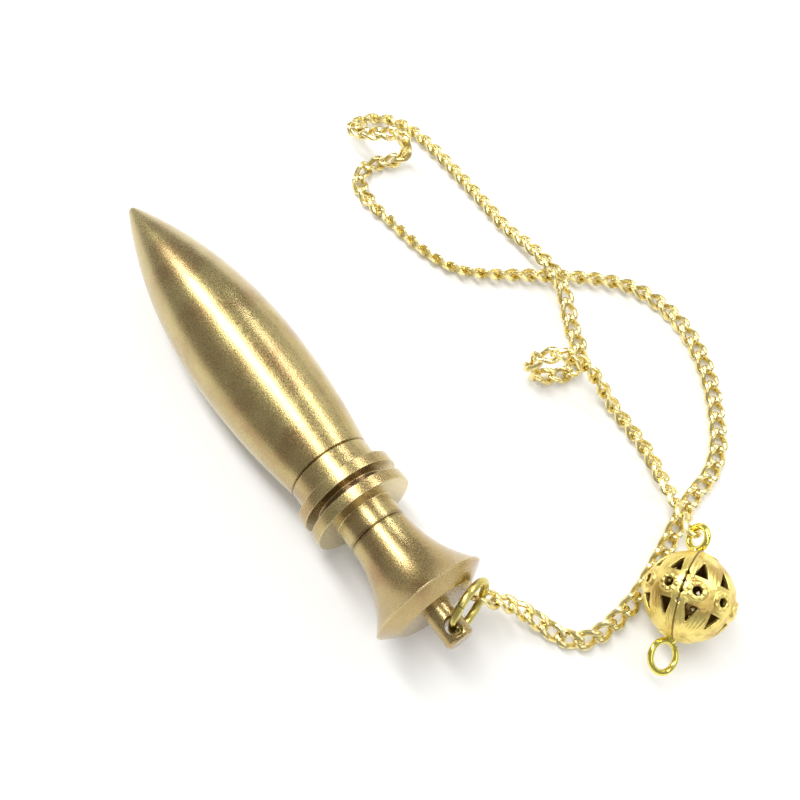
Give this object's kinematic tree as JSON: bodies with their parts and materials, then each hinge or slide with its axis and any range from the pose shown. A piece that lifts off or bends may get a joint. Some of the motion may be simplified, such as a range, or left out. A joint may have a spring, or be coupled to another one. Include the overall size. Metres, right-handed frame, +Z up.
{
  "type": "pendulum pendant",
  "caption": "Turned pointed metal bob with collars and a flared bell, hung by a jump ring on a curb chain that ends in a pierced ball bead with a ring.",
  "frame": {"origin": "on the table under the middle of the pendant's box, as the pendant was laid down", "axes": "+Z up from the table; +Y from the bead and the nub toward the chain's far bend; the bob points to -X and +Y"},
  "size_m": [0.074, 0.0782, 0.0137],
  "materials": {
    "bob_brass": "fine sand-matte turned brass with brighter edges",
    "jump_ring_brass": "drawn wire, satin, slightly green",
    "chain_brass": "pale polished wire",
    "bead_gilt_brass": "stamped and gilt, satin with polished high places"
  },
  "bodies": {
    "root": {"bob": "bob_brass", "jump_ring": "jump_ring_brass", "chain": "chain_brass", "bead": "bead_gilt_brass"}
  },
  "joints": []
}
